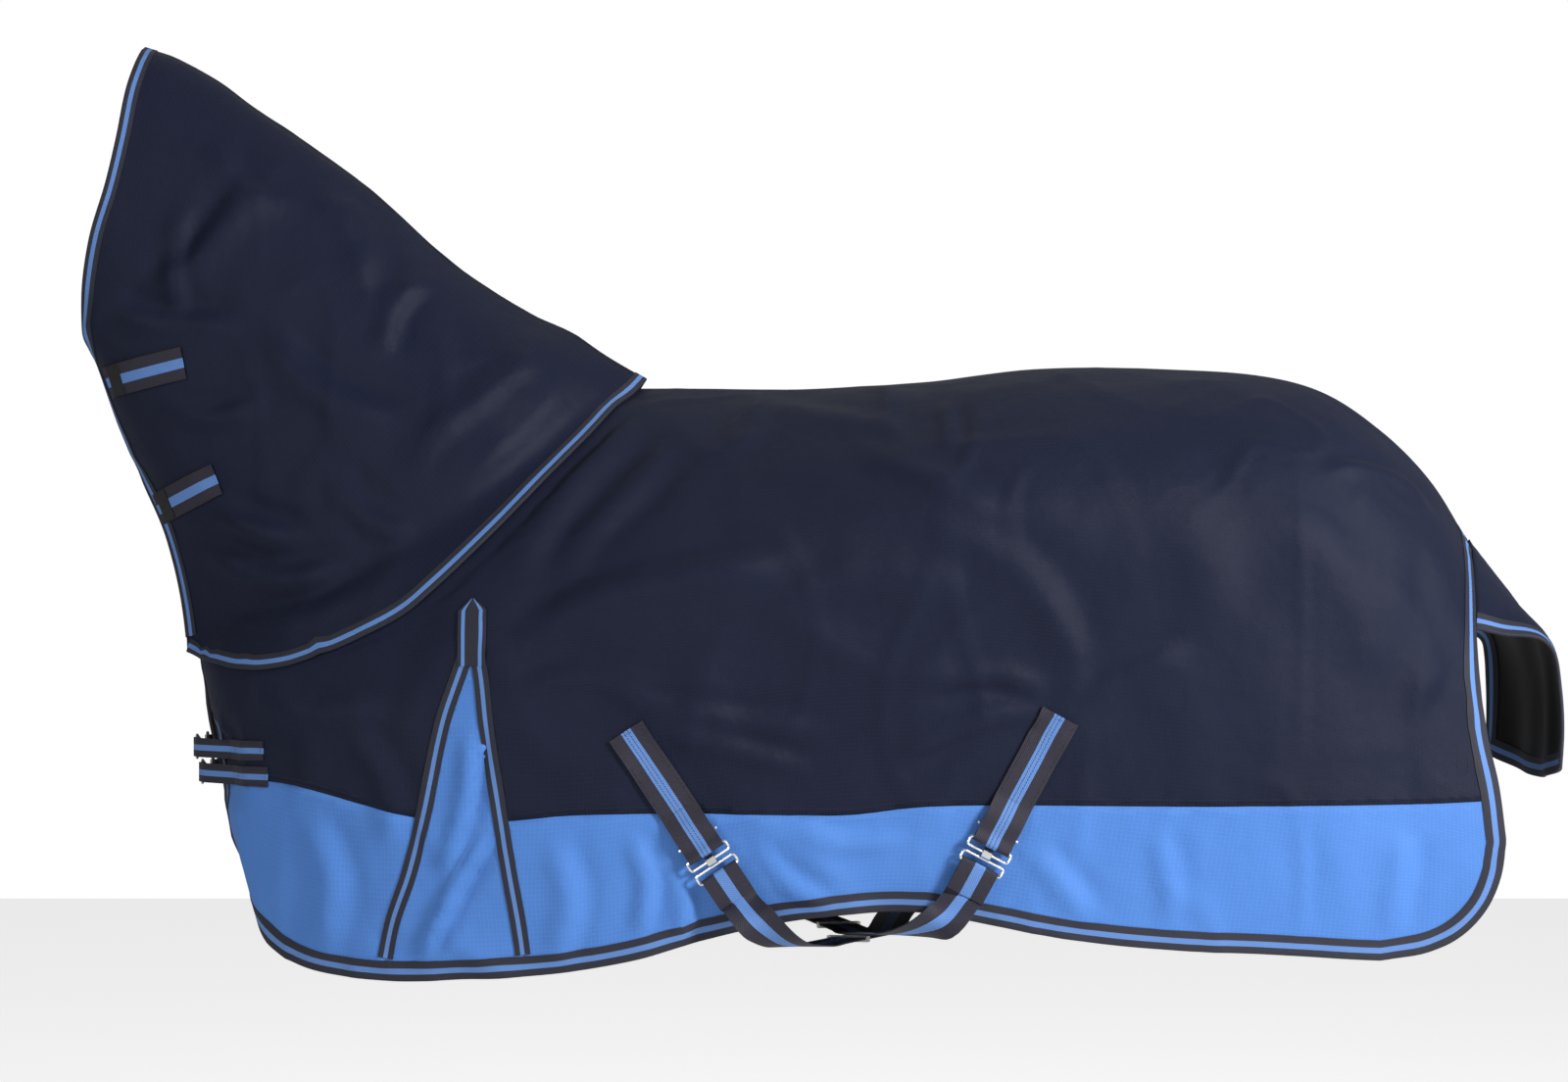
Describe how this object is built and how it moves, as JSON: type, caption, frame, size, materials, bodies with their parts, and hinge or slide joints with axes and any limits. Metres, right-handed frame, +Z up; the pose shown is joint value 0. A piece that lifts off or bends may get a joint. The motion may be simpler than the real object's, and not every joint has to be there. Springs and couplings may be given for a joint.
{
  "type": "horse turnout rug",
  "caption": "Horse turnout rug with neck cover, tail flap, pleated shoulder gussets, crossed belly straps with hook plates and hooked chest straps, shaped as worn.",
  "frame": {"origin": "underside of the lining at the withers, on the centre line", "axes": "+X towards the tail, +Y to the horse's far (right) side, +Z up; the fastenings face -Y"},
  "size_m": [1.9266, 0.6486, 1.213],
  "materials": {
    "outer_navy": "matt coated ripstop polyester, dark navy",
    "outer_blue": "matt coated ripstop polyester, mid blue",
    "lining_black": "soft black woven lining",
    "binding_tape": "navy woven tape with a light blue stripe",
    "webbing_navy": "heavy navy webbing with a light blue centre stripe",
    "nickel_steel": "nickel plated steel wire, slightly satin"
  },
  "bodies": {
    "rug": {"body_panel_far": "outer_navy", "body_panel_near": "outer_navy", "chest_lower_hook": "nickel_steel", "chest_lower_ring": "nickel_steel", "chest_lower_strap_far": "webbing_navy", "chest_lower_strap_near": "webbing_navy", "chest_upper_hook": "nickel_steel", "chest_upper_ring": "nickel_steel", "chest_upper_strap_far": "webbing_navy", "chest_upper_strap_near": "webbing_navy", "front_anchor_far": "webbing_navy", "front_anchor_near": "webbing_navy", "front_belly_strap": "webbing_navy", "front_loop_plate": "nickel_steel", "front_skirt_far": "outer_blue", "front_skirt_near": "outer_blue", "front_t_hook": "nickel_steel", "gusset_far": "outer_blue", "gusset_near": "outer_blue", "gusset_tab_far": "binding_tape", "gusset_tab_near": "binding_tape", "gusset_trim_far": "binding_tape", "gusset_trim_near": "binding_tape", "hem_binding_far": "binding_tape", "hem_binding_near": "binding_tape", "leg_ring_loop_far": "webbing_navy", "leg_ring_loop_near": "webbing_navy", "lining_far": "lining_black", "lining_near": "lining_black", "neck_crest_tape": "binding_tape", "neck_edge_binding_far": "binding_tape", "neck_edge_binding_near": "binding_tape", "neck_join_tape": "binding_tape", "neck_lining_far": "lining_black", "neck_lining_near": "lining_black", "neck_panel_far": "outer_navy", "neck_panel_near": "outer_navy", "neck_rim_binding_far": "binding_tape", "neck_rim_binding_near": "binding_tape", "neck_tab_lower_base": "binding_tape", "neck_tab_upper_base": "binding_tape", "rear_anchor_far": "webbing_navy", "rear_anchor_near": "webbing_navy", "rear_belly_strap": "webbing_navy", "rear_loop_plate": "nickel_steel", "rear_skirt_far": "outer_blue", "rear_skirt_near": "outer_blue", "rear_t_hook": "nickel_steel", "spine_seam_tape": "binding_tape"},
    "tail_flap": {"tail_flap_panel": "outer_navy", "tail_flap_lining": "lining_black", "tail_flap_binding": "binding_tape"},
    "upper_neck_tab": {"neck_tab_upper": "outer_navy"},
    "lower_neck_tab": {"neck_tab_lower": "outer_navy"},
    "upper_chest_gate": {"chest_upper_gate": "nickel_steel"},
    "lower_chest_gate": {"chest_lower_gate": "nickel_steel"},
    "front_keeper": {"front_slider": "nickel_steel"},
    "rear_keeper": {"rear_slider": "nickel_steel"},
    "near_leg_ring": {"leg_ring_near": "nickel_steel"},
    "far_leg_ring": {"leg_ring_far": "nickel_steel"}
  },
  "joints": [
    {"name": "tail_flap_lift", "type": "hinge", "parent": "rug", "child": "tail_flap", "pos_m": [1.01263, 0, -0.19784], "axis": [0, -1, 0], "range_deg": [0, 70]},
    {"name": "neck_tab_upper_peel", "type": "hinge", "parent": "rug", "child": "upper_neck_tab", "pos_m": [-0.78556, -0.03879, 0.00748], "axis": [0.2079, 0, -0.9781], "range_deg": [0, 100]},
    {"name": "neck_tab_lower_peel", "type": "hinge", "parent": "rug", "child": "lower_neck_tab", "pos_m": [-0.72006, -0.03012, -0.15874], "axis": [0.4067, 0, -0.9136], "range_deg": [0, 100]},
    {"name": "chest_upper_gate_open", "type": "hinge", "parent": "rug", "child": "upper_chest_gate", "pos_m": [-0.66393, -0.00894, -0.47], "axis": [0, 0, 1], "range_deg": [0, 22], "stiffness_Nm_per_rad": 0.02, "springref_deg": -11.46},
    {"name": "chest_lower_gate_open", "type": "hinge", "parent": "rug", "child": "lower_chest_gate", "pos_m": [-0.65716, -0.00747, -0.503], "axis": [0, 0, 1], "range_deg": [0, 22], "stiffness_Nm_per_rad": 0.02, "springref_deg": -11.46},
    {"name": "front_keeper_slide", "type": "slide", "parent": "rug", "child": "front_keeper", "axis": [0.3747, 0.927, -0.0158], "range_m": [-0.035, 0.035]},
    {"name": "rear_keeper_slide", "type": "slide", "parent": "rug", "child": "rear_keeper", "axis": [-0.2107, 0.9776, 0], "range_m": [-0.035, 0.035]},
    {"name": "leg_ring_near_swing", "type": "hinge", "parent": "rug", "child": "near_leg_ring", "pos_m": [0.95378, -0.23525, -0.46616], "axis": [0.9783, 0.2071, 0], "range_deg": [0, 100]},
    {"name": "leg_ring_far_swing", "type": "hinge", "parent": "rug", "child": "far_leg_ring", "pos_m": [0.95379, 0.23524, -0.46616], "axis": [-0.9783, 0.2071, 0], "range_deg": [0, 100]}
  ]
}
